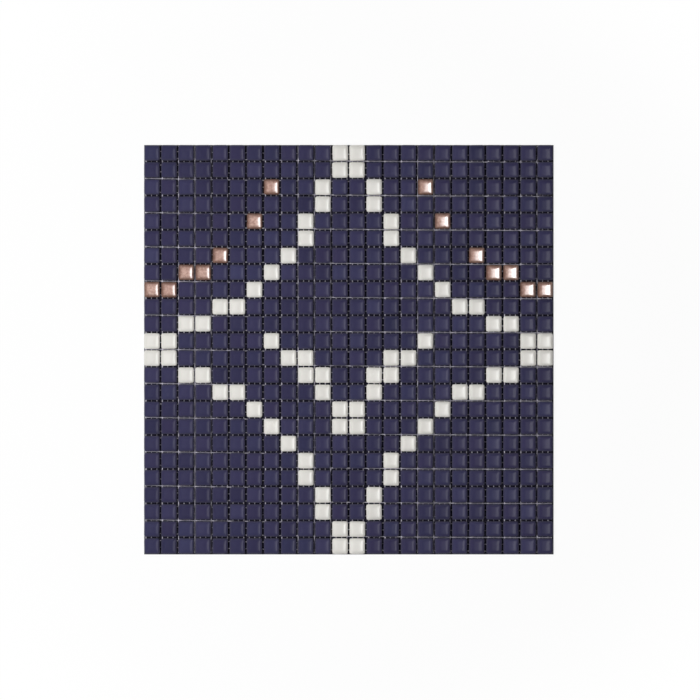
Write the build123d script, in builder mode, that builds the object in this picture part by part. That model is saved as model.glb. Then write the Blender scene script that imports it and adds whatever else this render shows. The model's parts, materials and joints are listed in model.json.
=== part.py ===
"""Ceramic mosaic sheet: square glazed tesserae, laid to a chart, on a backing mesh of glass threads.

Millimetres, +Z up. The origin is under the middle of the sheet, +Y is the top of the laying chart,
and the glazed faces look up. Rows and columns of the chart are numbered from 1 at the top left.
"""
import os
from math import atan2, degrees, radians, tan

from build123d import *

# Tesserae
TESSERA_SIDE = 11.4
TESSERA_HEIGHT = 5.0
WALL_DRAFT = 2.0  # degrees that the walls lean in towards the back
BEVEL_WIDTH = 2.8  # the sloping margin round the flat of the face
BEVEL_DROP = 1.1
JOINT_WIDTH = 1.1

# Backing mesh: warp threads run along Y and lie under the weft threads, which run along X
THREAD_WIDTH = 0.6
THREAD_THICKNESS = 0.25
WARP_PITCH = 3.98
WEFT_PITCH = 5.0
WARP_INSET = 1.0  # first warp thread from the left edge of the sheet
WEFT_INSET = 2.75  # first weft thread from the lower edge, at mid-width
WEFT_SKEW = 3.2  # how far a weft thread drops from the left edge to the right
MESH_MARGIN = 0.4  # the mesh is cut this far inside the edge of the sheet

# Laying chart of the lozenge: from its top point to its left point the line goes down in blocks
# that meet corner to corner, each so many columns wide and rows high
LOZENGE_BLOCKS = [(1, 2)] * 3 + [(1, 1)] * 3 + [(2, 1)] * 3

# Left halves of the other motifs, as runs of one row: (row, first column, last column)
CHEVRON_RUNS = [(12, 8, 8), (13, 9, 10), (14, 10, 11), (15, 11, 11), (16, 12, 12), (17, 12, 12)]
ARC_RUNS = [(3, 8, 8), (5, 7, 7), (7, 5, 5), (8, 3, 4), (9, 1, 2)]

# Sizes that follow
columns = 2 * sum(wide for wide, high in LOZENGE_BLOCKS)
rows = 2 * sum(high for wide, high in LOZENGE_BLOCKS)
pitch = TESSERA_SIDE + JOINT_WIDTH
sheet_width = columns * pitch - JOINT_WIDTH
sheet_length = rows * pitch - JOINT_WIDTH
back_height = 2 * THREAD_THICKNESS
back_side = TESSERA_SIDE - 2 * (TESSERA_HEIGHT - BEVEL_DROP) * tan(radians(WALL_DRAFT))


def mirrored_columns(cells):
    """The cells seen in a mirror that stands on the sheet's upright centre line."""
    return {(row, columns + 1 - column) for row, column in cells}


def mirrored_rows(cells):
    """The cells seen in a mirror that stands on the sheet's level centre line."""
    return {(rows + 1 - row, column) for row, column in cells}


def cells_of_runs(runs):
    """The cells of runs given as (row, first column, last column)."""
    return {(row, column) for row, first, last in runs for column in range(first, last + 1)}


def cells_of_blocks(blocks):
    """The cells of blocks that step down and to the left from the middle of the top row."""
    runs = []
    row = 1
    column = columns // 2
    for wide, high in blocks:
        runs += [(row + step, column - wide + 1, column) for step in range(high)]
        row += high
        column -= wide
    return cells_of_runs(runs)


def centres(cells):
    """Where the tesserae of these cells stand, in the order of the chart."""
    left = -(columns - 1) * pitch / 2
    top = (rows - 1) * pitch / 2
    return [(left + (column - 1) * pitch, top - (row - 1) * pitch) for row, column in sorted(cells)]


# Chart
lozenge_left = cells_of_blocks(LOZENGE_BLOCKS)
lozenge_upper = lozenge_left | mirrored_columns(lozenge_left)
lozenge = lozenge_upper | mirrored_rows(lozenge_upper)
chevron_left = cells_of_runs(CHEVRON_RUNS)
chevron = chevron_left | mirrored_columns(chevron_left)
arc_left = cells_of_runs(ARC_RUNS)
arc_right = mirrored_columns(arc_left)
motifs = {
    "white_lozenge": lozenge,
    "white_chevron": chevron,
    "copper_arc_left": arc_left,
    "copper_arc_right": arc_right,
}
figured = set().union(*motifs.values())
for row in range(1, rows + 1):
    ground = {(row, column) for column in range(1, columns + 1)}
    motifs[f"navy_row_{row:02d}"] = ground - figured

# One tessera: a pressed chip whose face slopes down to its margin all round
with BuildPart() as tessera:
    with BuildSketch(Plane.XY.offset(back_height)):
        Rectangle(back_side, back_side)
    extrude(amount=TESSERA_HEIGHT, taper=-WALL_DRAFT)
    face = tessera.faces().sort_by(Axis.Z)[-1]
    chamfer(face.edges(), length=BEVEL_WIDTH, length2=BEVEL_DROP, reference=face)

# Warp threads
warp_length = sheet_length - 2 * MESH_MARGIN
warp_span = sheet_width - WARP_INSET - MESH_MARGIN - THREAD_WIDTH / 2
warp_count = int(warp_span / WARP_PITCH) + 1
warp_middle = -sheet_width / 2 + WARP_INSET + (warp_count - 1) * WARP_PITCH / 2
with BuildPart() as mesh_warp:
    with BuildSketch():
        with Locations((warp_middle, 0)):
            with GridLocations(WARP_PITCH, warp_length, warp_count, 1):
                Rectangle(THREAD_WIDTH, warp_length)
    extrude(amount=THREAD_THICKNESS)

# Weft threads, a little out of square as the mesh was laid
weft_length = sheet_width - 2 * MESH_MARGIN
weft_span = sheet_length - WEFT_INSET - MESH_MARGIN - (THREAD_WIDTH + WEFT_SKEW) / 2
weft_count = int(weft_span / WEFT_PITCH) + 1
weft_middle = -sheet_length / 2 + WEFT_INSET + (weft_count - 1) * WEFT_PITCH / 2
weft_slope = -degrees(atan2(WEFT_SKEW, sheet_width))
with BuildPart() as mesh_weft:
    with BuildSketch(Plane.XY.offset(THREAD_THICKNESS)):
        with Locations((0, weft_middle)):
            with GridLocations(weft_length, WEFT_PITCH, 1, weft_count):
                Rectangle(weft_length, THREAD_WIDTH, rotation=weft_slope)
    extrude(amount=THREAD_THICKNESS)

# Files
os.makedirs("parts", exist_ok=True)
mesh_warp.part.label = "mesh_warp"
export_step(mesh_warp.part, "parts/mesh_warp.step")
mesh_weft.part.label = "mesh_weft"
export_step(mesh_weft.part, "parts/mesh_weft.step")
for name, cells in motifs.items():
    with BuildPart() as laid:
        with Locations(*centres(cells)):
            add(tessera.part)
    laid.part.label = name
    export_step(laid.part, f"parts/{name}.step")
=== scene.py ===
"""Looks of a mesh-mounted ceramic mosaic sheet: glazed tesserae, backing threads and a studio.

Metres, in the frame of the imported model: the sheet lies on z = 0 with its glazed faces up, and +Y
is the top of the pattern. Sizes come from the frame, or are fields of the class that uses them.
"""
import json
import logging
import math
import random
from dataclasses import dataclass, field
from enum import Enum
from typing import Any, Iterable, Union

import bmesh
import bpy
from mathutils import Matrix, Vector


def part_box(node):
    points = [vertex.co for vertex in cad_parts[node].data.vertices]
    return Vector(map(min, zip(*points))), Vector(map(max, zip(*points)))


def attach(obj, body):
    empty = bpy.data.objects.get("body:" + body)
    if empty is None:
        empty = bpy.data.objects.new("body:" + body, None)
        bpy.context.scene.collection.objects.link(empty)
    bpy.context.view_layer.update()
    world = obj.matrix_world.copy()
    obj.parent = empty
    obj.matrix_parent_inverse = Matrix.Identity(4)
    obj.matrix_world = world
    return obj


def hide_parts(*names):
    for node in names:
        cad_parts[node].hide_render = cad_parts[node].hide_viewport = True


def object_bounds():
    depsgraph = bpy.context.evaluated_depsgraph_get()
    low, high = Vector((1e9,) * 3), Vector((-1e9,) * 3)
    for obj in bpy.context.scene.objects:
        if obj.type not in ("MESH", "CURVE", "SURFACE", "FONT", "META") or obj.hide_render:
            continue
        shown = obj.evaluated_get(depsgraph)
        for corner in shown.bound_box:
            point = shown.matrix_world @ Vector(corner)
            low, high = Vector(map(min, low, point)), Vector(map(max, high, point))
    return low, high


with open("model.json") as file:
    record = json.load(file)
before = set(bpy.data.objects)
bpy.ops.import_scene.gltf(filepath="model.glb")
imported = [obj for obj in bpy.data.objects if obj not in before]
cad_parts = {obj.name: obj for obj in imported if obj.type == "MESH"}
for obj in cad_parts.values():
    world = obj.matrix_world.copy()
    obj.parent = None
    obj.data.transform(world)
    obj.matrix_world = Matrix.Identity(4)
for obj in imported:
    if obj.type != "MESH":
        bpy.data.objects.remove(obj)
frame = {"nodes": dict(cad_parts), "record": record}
CAD_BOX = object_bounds()
LOG = logging.getLogger("mosaic")
MM = 0.001
WELD = 0.01 * MM
PLACE_DIGITS = 4
HEIGHT_DIGITS = 6
HALF = 0.5
BODY = "root"
CHIP_VALUES = "chip"

Colour = tuple[float, float, float, float]
Value = Union["Field", float, Colour]


def rgb(red: float, green: float, blue: float) -> Colour:
    """An opaque colour in linear light."""
    return (red, green, blue, 1.0)


WHITE = rgb(1, 1, 1)


class Slot(Enum):
    """The record's material slots."""

    NAVY = "navy_glaze"
    WHITE = "white_glaze"
    COPPER = "copper_glaze"
    THREAD = "mesh_thread"


class Reach(Enum):
    """What a light works on: what mirrors it, or what scatters it."""

    GLOSS = "gloss"
    MATT = "matt"


class Field:
    """One output socket of a shader graph, with arithmetic on its value."""

    def __init__(self, graph: "Graph", socket: bpy.types.NodeSocket) -> None:
        """Wraps a socket of that graph."""
        self.graph = graph
        self.socket = socket

    def math(self, operation: str, first: Value, second: Value) -> "Field":
        """Adds a Math node to the graph.

        Args:
            operation: the node's operation, such as "ADD".
            first: the value of its first socket.
            second: the value of its second socket.

        Returns:
            The node's result.
        """
        return self.graph.add("ShaderNodeMath", {"operation": operation}, {0: first, 1: second})

    def __add__(self, other: Value) -> "Field":
        """This value plus another."""
        return self.math("ADD", self, other)

    def __sub__(self, other: Value) -> "Field":
        """This value less another."""
        return self.math("SUBTRACT", self, other)

    def __rsub__(self, other: Value) -> "Field":
        """Another value less this one."""
        return self.math("SUBTRACT", other, self)

    def __mul__(self, other: Value) -> "Field":
        """This value times another."""
        return self.math("MULTIPLY", self, other)

    __radd__ = __add__
    __rmul__ = __mul__

    def swing(self, reach: float) -> "Field":
        """This value, from 0 to 1, as a swing about 0 of that reach in all."""
        return (self - HALF) * reach

    def step(self, low: float, high: float) -> "Field":
        """A smooth rise from 0 to 1 as this value goes from low to high.

        Args:
            low: the value at which the rise begins.
            high: the value at which it ends.

        Returns:
            The rise, from 0 to 1.
        """
        settings = {"interpolation_type": "SMOOTHSTEP"}
        sockets = {"Value": self, "From Min": low, "From Max": high}
        return self.graph.add("ShaderNodeMapRange", settings, sockets)


class Graph:
    """The node tree of one material or of the world."""

    def __init__(self, tree: bpy.types.NodeTree) -> None:
        """Empties the tree."""
        self.tree = tree
        tree.nodes.clear()

    @staticmethod
    def find(
        sockets: Iterable[bpy.types.NodeSocket], key: Union[int, str]
    ) -> bpy.types.NodeSocket:
        """A socket by its number, identifier or name.

        Args:
            sockets: a node's inputs or outputs.
            key: the number, identifier or name.

        Returns:
            The first socket that fits.
        """
        for number, socket in enumerate(sockets):
            if key in (number, socket.identifier, socket.name):
                return socket
        raise KeyError(key)

    def add(
        self,
        kind: str,
        settings: dict[str, Any],
        sockets: dict[Union[int, str], Value],
        output: Union[int, str] = 0,
    ) -> Field:
        """Adds one node.

        Args:
            kind: the node's type.
            settings: its own settings, which are set first.
            sockets: the values or links of its inputs.
            output: which of its outputs is wanted.

        Returns:
            That output.
        """
        node = self.tree.nodes.new(kind)
        for name, value in settings.items():
            setattr(node, name, value)
        for key, value in sockets.items():
            socket = self.find(node.inputs, key)
            if isinstance(value, Field):
                self.tree.links.new(value.socket, socket)
            else:
                socket.default_value = value
        return Field(self, self.find(node.outputs, output))

    def blend(self, share: Value, first: Value, second: Value) -> Field:
        """A colour between two colours.

        Args:
            share: how much of the second colour, from 0 to 1.
            first: the first colour.
            second: the second colour.

        Returns:
            The mixed colour.
        """
        sockets = {"Factor_Float": share, "A_Color": first, "B_Color": second}
        return self.add("ShaderNodeMix", {"data_type": "RGBA"}, sockets, "Result_Color")

    def noise(
        self, place: Field, grain: float, detail: float = 2.0, stretch: float = 0.0
    ) -> Field:
        """Soft random patches.

        Args:
            place: the coordinates that the patches lie on.
            grain: the size of a patch, in metres.
            detail: how many finer layers are added.
            stretch: how far the patches are pulled out of shape.

        Returns:
            A value about 0.5.
        """
        sockets = {"Vector": place, "Scale": 1 / grain, "Detail": detail, "Distortion": stretch}
        return self.add("ShaderNodeTexNoise", {}, sockets, "Fac")

    def object_place(self) -> Field:
        """The point's place in the frame."""
        return self.add("ShaderNodeTexCoord", {}, {}, "Object")

    def part(self, vector: Field, axis: str) -> Field:
        """One of a vector's three values, X, Y or Z."""
        return self.add("ShaderNodeSeparateXYZ", {}, {"Vector": vector}, axis)

    def bump(self, height: Field, depth: float) -> Field:
        """The surface's normal over a relief.

        Args:
            height: the relief, from 0 to 1.
            depth: what 1 means, in metres.

        Returns:
            The normal.
        """
        return self.add("ShaderNodeBump", {}, {"Height": height, "Distance": depth})

    def end(self, shader: Field, kind: str = "ShaderNodeOutputMaterial") -> None:
        """Ends the graph in an output node of that kind."""
        node = self.tree.nodes.new(kind)
        self.tree.links.new(shader.socket, node.inputs["Surface"])

    def surface(self, sockets: dict[Union[int, str], Value]) -> None:
        """Ends the graph in a Principled shader with those sockets."""
        self.end(self.add("ShaderNodeBsdfPrincipled", {}, sockets, "BSDF"))


def new_material(name: str) -> tuple[bpy.types.Material, Graph]:
    """An empty material.

    Args:
        name: its name.

    Returns:
        The material and its graph.
    """
    material = bpy.data.materials.new(name)
    material.use_nodes = True
    return material, Graph(material.node_tree)


@dataclass(frozen=True)
class Glaze:
    """A fired glaze that runs over the rim of a tessera and leaves the foot of its pale body bare.

    Every tessera has three random values of its own in the attribute CHIP_VALUES, and the fourth
    value there rises from 0 at its rim to 1 on its flat. Towards the rim the colour goes over into
    the rim colour, over the share of the cushion edge that rim_reach gives: on the copper this is
    painted shade that darkens its whole cushion edge, and on the navy a lighter rim that is partly
    a glaze that thins there and partly painted light. Drips carry its end on the walls up and down.
    """

    name: str
    deep: Colour
    light: Colour
    drift: Colour
    # rim colour: painted shade on the copper's cushion edge; on the navy a lighter rim, partly thin
    # glaze and partly painted light
    rim: Colour
    rim_share: float
    rim_reach: float
    roughness: float
    grain_depth: float
    patch: float = 5 * MM
    patch_stretch: float = 0.4
    mottle: float = 0.25
    speck: float = 0.7 * MM
    speckle: float = 0.2
    peel: float = 1.6 * MM
    peel_share: float = 0.6
    fine_detail: float = 3.0
    drift_share: float = 0.8
    rim_waver: float = 0.2
    gloss_spread: float = 0.12
    shine: float = 0.5
    coat: float = 0.0
    coat_index: float = 1.5
    drip: float = 2.5 * MM
    drip_reach: float = 1.6 * MM
    drip_edge: float = 0.06 * MM
    body: Colour = rgb(0.34, 0.33, 0.335)
    pores: Colour = rgb(0.21, 0.20, 0.205)
    pore: float = 0.25 * MM
    body_roughness: float = 0.9

    def material(self, chip: "Tessera") -> bpy.types.Material:
        """Makes the material.

        Args:
            chip: the tessera that wears it, for its heights.

        Returns:
            The material.
        """
        material, graph = new_material(self.name)
        place = graph.object_place()
        height = graph.part(place, "Z")
        dice = graph.add("ShaderNodeAttribute", {"attribute_name": CHIP_VALUES}, {}, "Vector")
        inward = graph.add("ShaderNodeAttribute", {"attribute_name": CHIP_VALUES}, {}, "Alpha")
        tone = graph.part(dice, "X")
        hue = graph.part(dice, "Y")
        firing = graph.part(dice, "Z")

        clouds = graph.noise(place, self.patch, stretch=self.patch_stretch)
        specks = graph.noise(place, self.speck, self.fine_detail)
        peel = graph.noise(place, self.peel)
        shade = tone + clouds.swing(self.mottle) + specks.swing(self.speckle)
        colour = graph.blend(shade, self.deep, self.light)
        colour = graph.blend(hue * self.drift_share, colour, self.drift)
        # painted shade and light at the rim: the copper's cushion edge is darkened and the navy's
        # rim lightened, partly for a glaze that thins there
        thin_glaze_painted_light_and_shade = 1 - (inward + clouds.swing(self.rim_waver)).step(0.0, self.rim_reach)
        colour = graph.blend(thin_glaze_painted_light_and_shade * self.rim_share, colour, self.rim)

        drips = graph.noise(place, self.drip)
        line = height + drips.swing(self.drip_reach)
        bare = 1 - line.step(chip.glaze_z - self.drip_edge, chip.glaze_z + self.drip_edge)
        clay = graph.blend(graph.noise(place, self.pore, self.fine_detail), self.body, self.pores)
        colour = graph.blend(bare, colour, clay)

        glazed = 1 - bare
        lustre = glazed * (1 - thin_glaze_painted_light_and_shade * self.rim_share) * self.coat if self.coat else 0.0
        dull = self.roughness + peel.swing(self.gloss_spread) + firing.swing(self.gloss_spread)
        relief = peel * self.peel_share + specks * (1 - self.peel_share)
        graph.surface(
            {
                "Base Color": colour,
                "Roughness": dull * glazed + bare * self.body_roughness,
                "Specular IOR Level": self.shine,
                "Coat Weight": lustre,
                "Coat Roughness": self.roughness,
                "Coat IOR": self.coat_index,
                "Normal": graph.bump(relief, self.grain_depth),
            }
        )
        return material


@dataclass(frozen=True)
class Thread:
    """Coated glass-fibre yarn: pale, with fine filaments along it and painted shade in the gaps
    between them.
    """

    name: str = "glass thread"
    coat: Colour = rgb(0.82, 0.79, 0.90)
    # painted shade: the darker colour of the gaps between the filaments
    gap_shade: Colour = rgb(0.51, 0.485, 0.58)
    gap_shade_edge: tuple[float, float] = (0.3, 0.6)
    filament: float = 0.08 * MM
    filament_run: float = 2.0 * MM
    filament_share: float = 0.7
    filament_depth: float = 0.05 * MM
    knot: float = 3 * MM
    roughness: float = 0.55
    gloss_spread: float = 0.3

    def material(self, along: str) -> bpy.types.Material:
        """Makes the material.

        Args:
            along: the axis that the threads run along, X or Y.

        Returns:
            The material.
        """
        material, graph = new_material(f"{self.name} along {along}")
        place = graph.object_place()
        squeeze = self.filament / self.filament_run
        scale = (squeeze, 1.0, 1.0) if along == "X" else (1.0, squeeze, 1.0)
        drawn = graph.add("ShaderNodeMapping", {}, {"Vector": place, "Scale": scale})
        filaments = graph.noise(drawn, self.filament)
        knots = graph.noise(place, self.knot)
        cover = filaments * self.filament_share + knots * (1 - self.filament_share)
        graph.surface(
            {
                # painted shade where the filaments part
                "Base Color": graph.blend(cover.step(*self.gap_shade_edge), self.gap_shade, self.coat),
                "Roughness": self.roughness + filaments.swing(self.gloss_spread),
                "Normal": graph.bump(filaments, self.filament_depth),
            }
        )
        return material


def middle(corners: list[Vector]) -> Vector:
    """The mean of some points."""
    return sum(corners, Vector()) / len(corners)


def reading_order(corners: list[Vector]) -> tuple[float, float]:
    """A key that sorts solids by rows, from the top left of the sheet to the bottom right.

    Args:
        corners: a solid's corners.

    Returns:
        How far down and how far to the right the solid lies.
    """
    centre = middle(corners)
    return -round(centre.y, PLACE_DIGITS), round(centre.x, PLACE_DIGITS)


def solids_of(node: str) -> list[list[Vector]]:
    """The corners of each separate solid of a CAD node.

    Args:
        node: the node's name.

    Returns:
        A list of corners for each solid, from the top left of the sheet to the bottom right.
    """
    bm = bmesh.new()
    bm.from_mesh(frame["nodes"][node].data)
    bmesh.ops.remove_doubles(bm, verts=bm.verts, dist=WELD)
    waiting = set(bm.verts)
    solids = []
    for seed in bm.verts:
        if seed not in waiting:
            continue
        waiting.remove(seed)
        reached = [seed]
        for vert in reached:
            linked = [edge.other_vert(vert) for edge in vert.link_edges]
            fresh = [other for other in linked if other in waiting]
            waiting.difference_update(fresh)
            reached += fresh
        solids.append([vert.co.copy() for vert in reached])
    bm.free()
    return sorted(solids, key=reading_order)


def new_piece(
    name: str, bm: bmesh.types.BMesh, material: bpy.types.Material
) -> bpy.types.Object:
    """Makes a finished mesh an object in the scene.

    Args:
        name: the piece's name.
        bm: its mesh, which is freed.
        material: its material.

    Returns:
        The object, at the origin.
    """
    mesh = bpy.data.meshes.new(name)
    bm.to_mesh(mesh)
    bm.free()
    mesh.materials.append(material)
    piece = bpy.data.objects.new(name, mesh)
    bpy.context.scene.collection.objects.link(piece)
    return piece


@dataclass
class Tessera:
    """One pressed chip: a flat face with a cushion edge down to its rim, walls and a flat back.

    The glaze rounds the crease between the flat and the margin, so the fall begins that much
    further in. The cushion edge has so many steps, and the rim is rounded and its corners are cut.
    """

    back_side: float
    lip_side: float
    crown_side: float
    back_z: float
    lip_z: float
    top_z: float
    crease: float = 0.6 * MM
    steps: int = 2
    rim_inset: float = 0.12 * MM
    rim_drop: float = 0.2 * MM
    corner_cut: float = 0.32 * MM
    bare_foot: float = 1.2 * MM

    @classmethod
    def of_solid(cls, corners: list[Vector]) -> "Tessera":
        """Reads the sizes of a chip from its CAD solid.

        Args:
            corners: the solid's corners.

        Returns:
            The chip.
        """
        levels = sorted({round(corner.z, HEIGHT_DIGITS) for corner in corners})
        sides = []
        for level in levels:
            across = [corner.x for corner in corners if abs(corner.z - level) < WELD]
            sides.append(max(across) - min(across))
        return cls(*sides, *levels)

    @property
    def glaze_z(self) -> float:
        """The height at which the glaze ends on the walls."""
        return self.back_z + self.bare_foot

    @property
    def bevel(self) -> float:
        """The width of the cushion edge."""
        return (self.lip_side - self.crown_side) / 2 + self.crease

    @property
    def cells(self) -> int:
        """How many cells of the face lie side by side."""
        return 2 * self.steps + 1

    @property
    def stride(self) -> float:
        """The width of one step of the cushion edge."""
        return (self.bevel - self.rim_inset) / self.steps

    def rise(self, inset: float) -> float:
        """How much of the cushion's height is reached that far in from the edge, from 0 to 1."""
        return 1 - max(0.0, 1 - inset / self.bevel) ** 2

    def inward(self, point: Vector) -> float:
        """How far a point of the chip lies in from the rim, from 0 there to 1 on the flat."""
        return min(1.0, (self.lip_side / 2 - max(abs(point.x), abs(point.y))) / self.bevel)

    def face_point(self, across: float, along: float) -> Vector:
        """Where a point of an even grid goes on the face.

        Args:
            across: the grid's X, from -1 to 1.
            along: the grid's Y, from -1 to 1.

        Returns:
            The point on the cushion.
        """
        insets = []
        for value in (across, along):
            lines_in = round((1 - abs(value)) * self.cells / 2)
            insets.append(self.rim_inset + lines_in * self.stride)
        share = math.prod(self.rise(inset) for inset in insets)
        height = self.lip_z + (self.top_z - self.lip_z) * share
        if max(insets) < self.rim_inset + self.stride / 2:
            insets = [inset + self.corner_cut for inset in insets]
        reach = [self.lip_side / 2 - inset for inset in insets]
        return Vector((math.copysign(reach[0], across), math.copysign(reach[1], along), height))

    def mesh(self) -> bpy.types.Mesh:
        """Builds the chip about the middle of its back.

        Returns:
            The mesh, at the chip's real height above the floor.
        """
        bm = bmesh.new()
        bmesh.ops.create_grid(bm, x_segments=self.cells, y_segments=self.cells, size=1.0)
        for vert in bm.verts:
            vert.co = self.face_point(vert.co.x, vert.co.y)
        rim = [edge for edge in bm.edges if edge.is_boundary]
        side = self.lip_side - 2 * self.rim_inset
        lip = (self.lip_side, self.lip_z - self.rim_drop)
        back = (self.back_side, self.back_z)
        for new_side, level in (lip, back):
            grown = bmesh.ops.extrude_edge_only(bm, edges=rim)["geom"]
            rim = [item for item in grown if isinstance(item, bmesh.types.BMEdge)]
            ring = [item for item in grown if isinstance(item, bmesh.types.BMVert)]
            bmesh.ops.scale(bm, vec=(new_side / side, new_side / side, 1), verts=ring)
            for vert in ring:
                vert.co.z = level
            side = new_side
        bmesh.ops.contextual_create(bm, geom=rim)
        bmesh.ops.recalc_face_normals(bm, faces=bm.faces)
        for face in bm.faces:
            face.smooth = True
        for edge in rim:
            edge.smooth = False
        mesh = bpy.data.meshes.new("chip")
        bm.to_mesh(mesh)
        bm.free()
        return mesh


@dataclass
class LaidTesserae:
    """The tesserae of one node, each laid a little off its place and fired a little differently."""

    node: str
    chip: Tessera
    shape: bpy.types.Mesh
    stray: float = 0.07 * MM
    turn: float = math.radians(0.45)
    tip: float = math.radians(0.35)
    spread: float = 0.25

    def place(self, centre: Vector, dice: random.Random) -> Matrix:
        """Where one chip lies.

        Args:
            centre: the middle of its CAD solid.
            dice: the node's random numbers.

        Returns:
            The chip's place, turn and tip.
        """
        shift = Vector((dice.gauss(0, self.stray), dice.gauss(0, self.stray), 0))
        turn = Matrix.Rotation(dice.gauss(0, self.turn), 4, "Z")
        nod = Matrix.Rotation(dice.gauss(0, self.tip), 4, "X")
        lean = Matrix.Rotation(dice.gauss(0, self.tip), 4, "Y")
        return Matrix.Translation(Vector((centre.x, centre.y, 0)) + shift) @ turn @ nod @ lean

    def firing(self, dice: random.Random) -> float:
        """A random value about 0.5, from 0 to 1."""
        return min(1.0, max(0.0, dice.gauss(HALF, self.spread)))

    @staticmethod
    def keep_in(verts: list[bmesh.types.BMVert]) -> None:
        """Moves a chip back to the edge of the sheet's box where it stands over it.

        Args:
            verts: the chip's vertices.
        """
        low, high = CAD_BOX
        for axis in range(3):
            values = [vert.co[axis] for vert in verts]
            over = max(0.0, max(values) - high[axis]) - max(0.0, low[axis] - min(values))
            for vert in verts:
                vert.co[axis] -= over

    def build(self, material: bpy.types.Material) -> bpy.types.Object:
        """Lays the chips.

        Args:
            material: the glaze's material.

        Returns:
            The piece.
        """
        dice = random.Random(self.node)
        inward = [self.chip.inward(vert.co) for vert in self.shape.vertices]
        bm = bmesh.new()
        chip_values = []
        for corners in solids_of(self.node):
            first = len(bm.verts)
            bm.from_mesh(self.shape)
            bm.verts.ensure_lookup_table()
            fresh = bm.verts[first:]
            bmesh.ops.transform(bm, matrix=self.place(middle(corners), dice), verts=fresh)
            self.keep_in(fresh)
            values = [self.firing(dice) for _ in range(3)]
            for share in inward:
                chip_values += [*values, share]
        piece = new_piece(f"{self.node}_tesserae", bm, material)
        attribute = piece.data.attributes.new(CHIP_VALUES, "FLOAT_COLOR", "POINT")
        attribute.data.foreach_set("color", chip_values)
        return piece


@dataclass
class BackingThreads:
    """The threads of one direction of the backing mesh, pressed together where they cross.

    Between the crossings a thread lifts by its slack where rise is 1, and sinks by it where rise
    is -1. The bow is how far its ends bend aside from its middle, and the bends are the rings for
    each crossing.
    """

    node: str
    crossing: str
    along: str
    rise: float
    bow: float = 0.0
    sides: int = 6
    bends: int = 2
    slack: float = 0.05 * MM

    def build(self, material: bpy.types.Material) -> bpy.types.Object:
        """Makes the threads along the CAD node's bars.

        Args:
            material: the yarn's material.

        Returns:
            The piece.
        """
        low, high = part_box(self.node)
        axis = 0 if self.along == "X" else 1
        crossed = [middle(corners)[axis] for corners in solids_of(self.crossing)]
        pitch = (max(crossed) - min(crossed)) / (len(crossed) - 1)
        slope = self.slope_of(self.crossing)
        bm = bmesh.new()
        for corners in solids_of(self.node):
            fresh = self.bar(bm, corners, high.z - low.z, len(crossed) * self.bends)
            for vert in fresh:
                offset = vert.co[axis] - slope * vert.co[1 - axis] - min(crossed)
                wave = (1 - math.cos(2 * math.pi * offset / pitch)) / 2
                vert.co.z += self.rise * self.slack * wave
                vert.co[1 - axis] += self.bow * ((vert.co[axis] / high[axis]) ** 2 - 1 / 3)
        return new_piece(self.node.replace("mesh_", "") + "_threads", bm, material)

    @staticmethod
    def ends(corners: list[Vector]) -> tuple[Vector, Vector]:
        """The middles of a bar's two ends.

        Args:
            corners: the bar's corners.

        Returns:
            The middle of the lower end along the bar's longest axis, and that of the upper end.
        """
        spans = [max(values) - min(values) for values in zip(*corners)]
        axis = spans.index(max(spans))
        ordered = sorted(corners, key=lambda corner: corner[axis])
        half = len(ordered) // 2
        return middle(ordered[:half]), middle(ordered[half:])

    def slope_of(self, node: str) -> float:
        """How far the bars of a node lean.

        Args:
            node: the node's name.

        Returns:
            The lean, as a drop over a run.
        """
        start, end = self.ends(solids_of(node)[0])
        run = end - start
        return min(run.x, run.y, key=abs) / max(run.x, run.y, key=abs)

    def bar(
        self, bm: bmesh.types.BMesh, corners: list[Vector], thickness: float, bends: int
    ) -> list[bmesh.types.BMVert]:
        """Adds one straight thread with rings where it can bend.

        Args:
            bm: the mesh that it is added to.
            corners: the corners of its CAD bar.
            thickness: its thickness.
            bends: the number of rings.

        Returns:
            Its vertices.
        """
        start, end = self.ends(corners)
        run = end - start
        width = 2 * max(abs((corner - start).cross(run.normalized()).z) for corner in corners)
        first = len(bm.verts)
        shape = bmesh.ops.create_cone(
            bm, cap_ends=True, segments=self.sides, radius1=HALF, radius2=HALF, depth=1.0
        )
        edges = {edge for vert in shape["verts"] for edge in vert.link_edges}
        lengthwise = [
            edge for edge in edges if abs(edge.verts[0].co.z - edge.verts[1].co.z) > HALF
        ]
        bmesh.ops.subdivide_edges(bm, edges=lengthwise, cuts=bends)
        bm.verts.ensure_lookup_table()
        fresh = bm.verts[first:]
        place = Matrix.Translation((start + end) / 2)
        facing = run.to_track_quat("Z", "X").to_matrix().to_4x4()
        size = Matrix.Diagonal((thickness, width, run.length, 1))
        bmesh.ops.transform(bm, matrix=place @ facing @ size, verts=fresh)
        for face in {face for vert in fresh for face in vert.link_faces}:
            face.smooth = len(face.verts) == 4
        return fresh


@dataclass
class Panel:
    """One flat soft light, turned about Y from lying level and facing down."""

    name: str
    centre: tuple[float, float, float]
    size: tuple[float, float]
    radiance: float
    reach: Reach
    turn: float = 0.0

    def build(self) -> bpy.types.Object:
        """Hangs the panel.

        Returns:
            The lamp.
        """
        lamp = bpy.data.lights.new(self.name, "AREA")
        lamp.shape = "RECTANGLE"
        lamp.size, lamp.size_y = self.size
        lamp.energy = self.radiance * math.pi * lamp.size * lamp.size_y
        panel = bpy.data.objects.new(self.name, lamp)
        panel.location = self.centre
        panel.rotation_euler.y = self.turn
        panel.visible_diffuse = self.reach is Reach.MATT
        panel.visible_glossy = self.reach is Reach.GLOSS
        bpy.context.scene.collection.objects.link(panel)
        return panel


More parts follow.
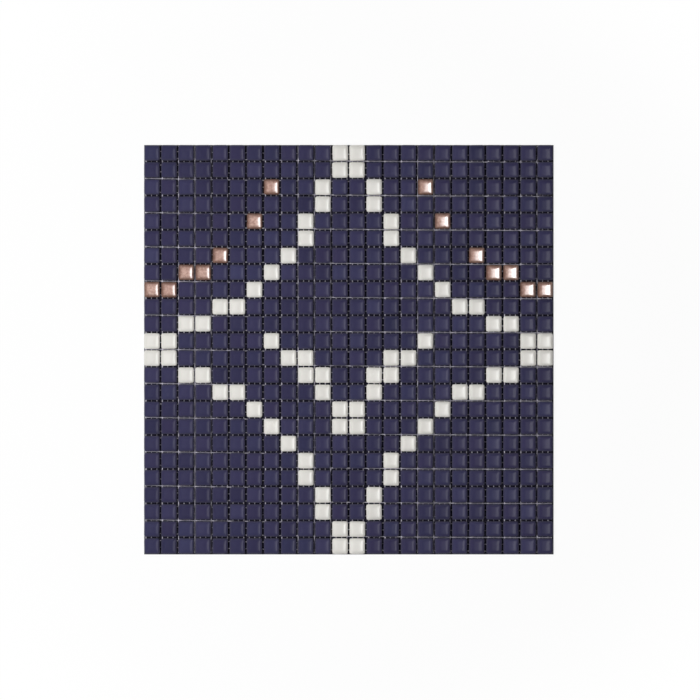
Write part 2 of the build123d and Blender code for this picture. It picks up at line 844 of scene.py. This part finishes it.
@dataclass
class Studio:
    """A pale floor, a soft key light, bright cards that show in the gloss, and a camera above.

    The camera's frame and the sheet's width in it are in pixels. The patch is painted shade: the
    floor right under the sheet is painted near black, so that the open joints show dark, and
    painted_shade_edge is where it begins and ends to turn pale, just outside the sheet, as a
    painted contact shadow that painted_shadow_shift pushes further out at the right and the bottom.
    """

    frame_pixels: int = 700
    sheet_pixels: float = 409.5
    aside: tuple[float, float] = (1.02 * MM, -0.39 * MM)
    eye_height: float = 1.4
    sensor: float = 36.0
    floor_side: float = 8.0
    pale: Colour = rgb(0.93, 0.93, 0.93)
    # painted shade: near-black floor colour under the sheet, seen through the joints, and a painted
    # contact shadow along its edges
    patch: Colour = rgb(0.024, 0.022, 0.036)
    painted_shade_edge: tuple[float, float] = (0.45 * MM, 0.65 * MM)
    painted_shadow_shift: tuple[float, float, float] = (0.2 * MM, -0.2 * MM, 0.0)
    shadow_share: float = 0.08
    shadow_edge: tuple[float, float] = (0.22, 0.36)
    ambient: float = 0.08
    ceiling: float = 0.25
    wall_top: tuple[float, float] = (0.15, 0.40)
    panels: list[Panel] = field(
        default_factory=lambda: [
            Panel("strip", (0.60, -0.15, 1.40), (0.50, 1.5), 4.1, Reach.GLOSS),
            Panel("card", (0.63, -0.15, 1.43), (1.04, 1.3), 0.5, Reach.GLOSS),
            Panel("veil", (0.72, -0.15, 1.46), (1.36, 1.3), 1.0, Reach.GLOSS),
            Panel("key", (-0.35, 0.0, 0.90), (0.4, 1.0), 7.5, Reach.MATT, math.radians(-21)),
        ]
    )

    def build(self) -> None:
        """Sets up the floor, the light and the camera."""
        scene = bpy.context.scene
        scene.view_settings.view_transform = "Standard"
        self.floor()
        self.world()
        for panel in self.panels:
            panel.build()
        scene.camera = self.camera()

    @staticmethod
    def seen(graph: Graph) -> Field:
        """Tells what the camera sees from stray light.

        Args:
            graph: the graph that asks.

        Returns:
            1 where the camera looks, straight or by way of gloss or glass, and 0 for stray light.
        """
        rays = ("Is Camera Ray", "Is Glossy Ray", "Is Transmission Ray")
        camera, glossy, through = (graph.add("ShaderNodeLightPath", {}, {}, ray) for ray in rays)
        return (camera + glossy + through).step(0.0, 1.0)

    def floor(self) -> None:
        """Lays a pale floor that goes over into white away from the sheet, with painted shade under
        it.
        """
        high = CAD_BOX[1]
        bm = bmesh.new()
        bmesh.ops.create_grid(bm, x_segments=1, y_segments=1, size=self.floor_side / 2)
        material, graph = new_material("pale floor")
        place = graph.object_place()
        subtract = {"operation": "SUBTRACT"}
        # painted shade: the dark patch under the sheet, shifted so that its painted contact shadow
        # reaches further out at the right and the bottom
        moved = graph.add("ShaderNodeVectorMath", subtract, {0: place, 1: self.painted_shadow_shift})
        ways = graph.add("ShaderNodeVectorMath", {"operation": "ABSOLUTE"}, {0: moved})
        across = graph.part(ways, "X").step(*(high.x + edge for edge in self.painted_shade_edge))
        along = graph.part(ways, "Y").step(*(high.y + edge for edge in self.painted_shade_edge))
        outside = 1 - (1 - across) * (1 - along)
        # painted shade: near black inside the patch, pale outside it
        colour = graph.blend(outside, self.patch, self.pale)
        away = graph.add("ShaderNodeVectorMath", {"operation": "LENGTH"}, {0: place}, "Value")
        shaded = (1 - away.step(*self.shadow_edge)) * self.shadow_share
        lit = graph.add("ShaderNodeBsdfDiffuse", {}, {"Color": colour})
        white = graph.add("ShaderNodeEmission", {}, {"Color": WHITE, "Strength": 1.0})
        share = self.seen(graph) * outside * (1 - shaded)
        graph.end(graph.add("ShaderNodeMixShader", {}, {0: share, 1: lit, 2: white}))
        new_piece("floor", bm, material)

    def world(self) -> None:
        """Fills the room with even light, and shows white walls under a darker ceiling."""
        world = bpy.data.worlds.new("room")
        world.use_nodes = True
        graph = Graph(world.node_tree)
        way = graph.add("ShaderNodeTexCoord", {}, {}, "Generated")
        walls = 1 - graph.part(way, "Z").step(*self.wall_top)
        shown = walls * (1 - self.ceiling) + (self.ceiling - self.ambient)
        strength = self.seen(graph) * shown + self.ambient
        sky = graph.add("ShaderNodeBackground", {}, {"Color": WHITE, "Strength": strength})
        graph.end(sky, "ShaderNodeOutputWorld")
        bpy.context.scene.world = world

    def camera(self) -> bpy.types.Object:
        """Puts the camera above the sheet, so little aside that the sheet is just off the middle.

        Returns:
            The camera.
        """
        low, high = CAD_BOX
        view_width = (high.x - low.x) * self.frame_pixels / self.sheet_pixels
        lens = bpy.data.cameras.new("camera")
        lens.sensor_width = self.sensor
        lens.lens = self.sensor * self.eye_height / view_width
        camera = bpy.data.objects.new("camera", lens)
        camera.location = (*self.aside, high.z + self.eye_height)
        bpy.context.scene.collection.objects.link(camera)
        return camera


GLAZES: dict[Slot, Glaze] = {
    Slot.NAVY: Glaze(
        name="navy glaze",
        deep=rgb(0.026, 0.026, 0.063),
        light=rgb(0.050, 0.050, 0.116),
        drift=rgb(0.041, 0.0345, 0.084),
        rim=rgb(0.058, 0.056, 0.094),
        rim_share=0.8,
        rim_reach=0.5,
        roughness=0.13,
        grain_depth=0.01 * MM,
        shine=0.115,
    ),
    Slot.WHITE: Glaze(
        name="white glaze",
        deep=rgb(0.737, 0.723, 0.680),
        light=rgb(0.813, 0.798, 0.753),
        drift=rgb(0.78, 0.76, 0.714),
        rim=rgb(0.78, 0.76, 0.714),
        rim_share=0.3,
        rim_reach=0.3,
        roughness=0.2,
        grain_depth=0.008 * MM,
        mottle=0.15,
        speckle=0.1,
        shine=0.7,
    ),
    Slot.COPPER: Glaze(
        name="copper glaze",
        deep=rgb(0.47, 0.23, 0.165),
        light=rgb(0.82, 0.485, 0.38),
        drift=rgb(0.66, 0.355, 0.27),
        # painted shade: the near-black rim colour darkens the whole cushion edge, past the crease
        rim=rgb(0.08, 0.035, 0.024),
        rim_share=0.92,
        rim_reach=1.25,
        roughness=0.16,
        grain_depth=0.015 * MM,
        patch=1.8 * MM,
        mottle=3.5,
        speckle=1.0,
        coat=1.0,
        coat_index=3.9,
    ),
}


def dress(piece: bpy.types.Object, node: str) -> None:
    """Ties a finished piece to the frame and reports it.

    Args:
        piece: the piece.
        node: the CAD node that it stands for.
    """
    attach(piece, BODY)
    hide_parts(node)
    LOG.info("%s: %d faces", piece.name, len(piece.data.polygons))


def main() -> None:
    """Builds the sheet and its studio."""
    logging.basicConfig(level=logging.INFO, format="%(message)s")
    slots = {part["node"]: Slot(part["material_slot"]) for part in frame["record"]["subparts"]}
    laid = [node for node, slot in slots.items() if slot in GLAZES]
    chip = Tessera.of_solid(solids_of(laid[0])[0])
    shape = chip.mesh()
    glazes = {slot: glaze.material(chip) for slot, glaze in GLAZES.items()}
    for node in laid:
        dress(LaidTesserae(node, chip, shape).build(glazes[slots[node]]), node)
    yarn = Thread()
    for threads in (
        BackingThreads("mesh_warp", "mesh_weft", "Y", rise=1.0),
        BackingThreads("mesh_weft", "mesh_warp", "X", rise=-1.0, bow=0.68 * MM),
    ):
        piece = threads.build(yarn.material(threads.along))
        dress(piece, threads.node)
    Studio().build()


if __name__ == "__main__":
    main()
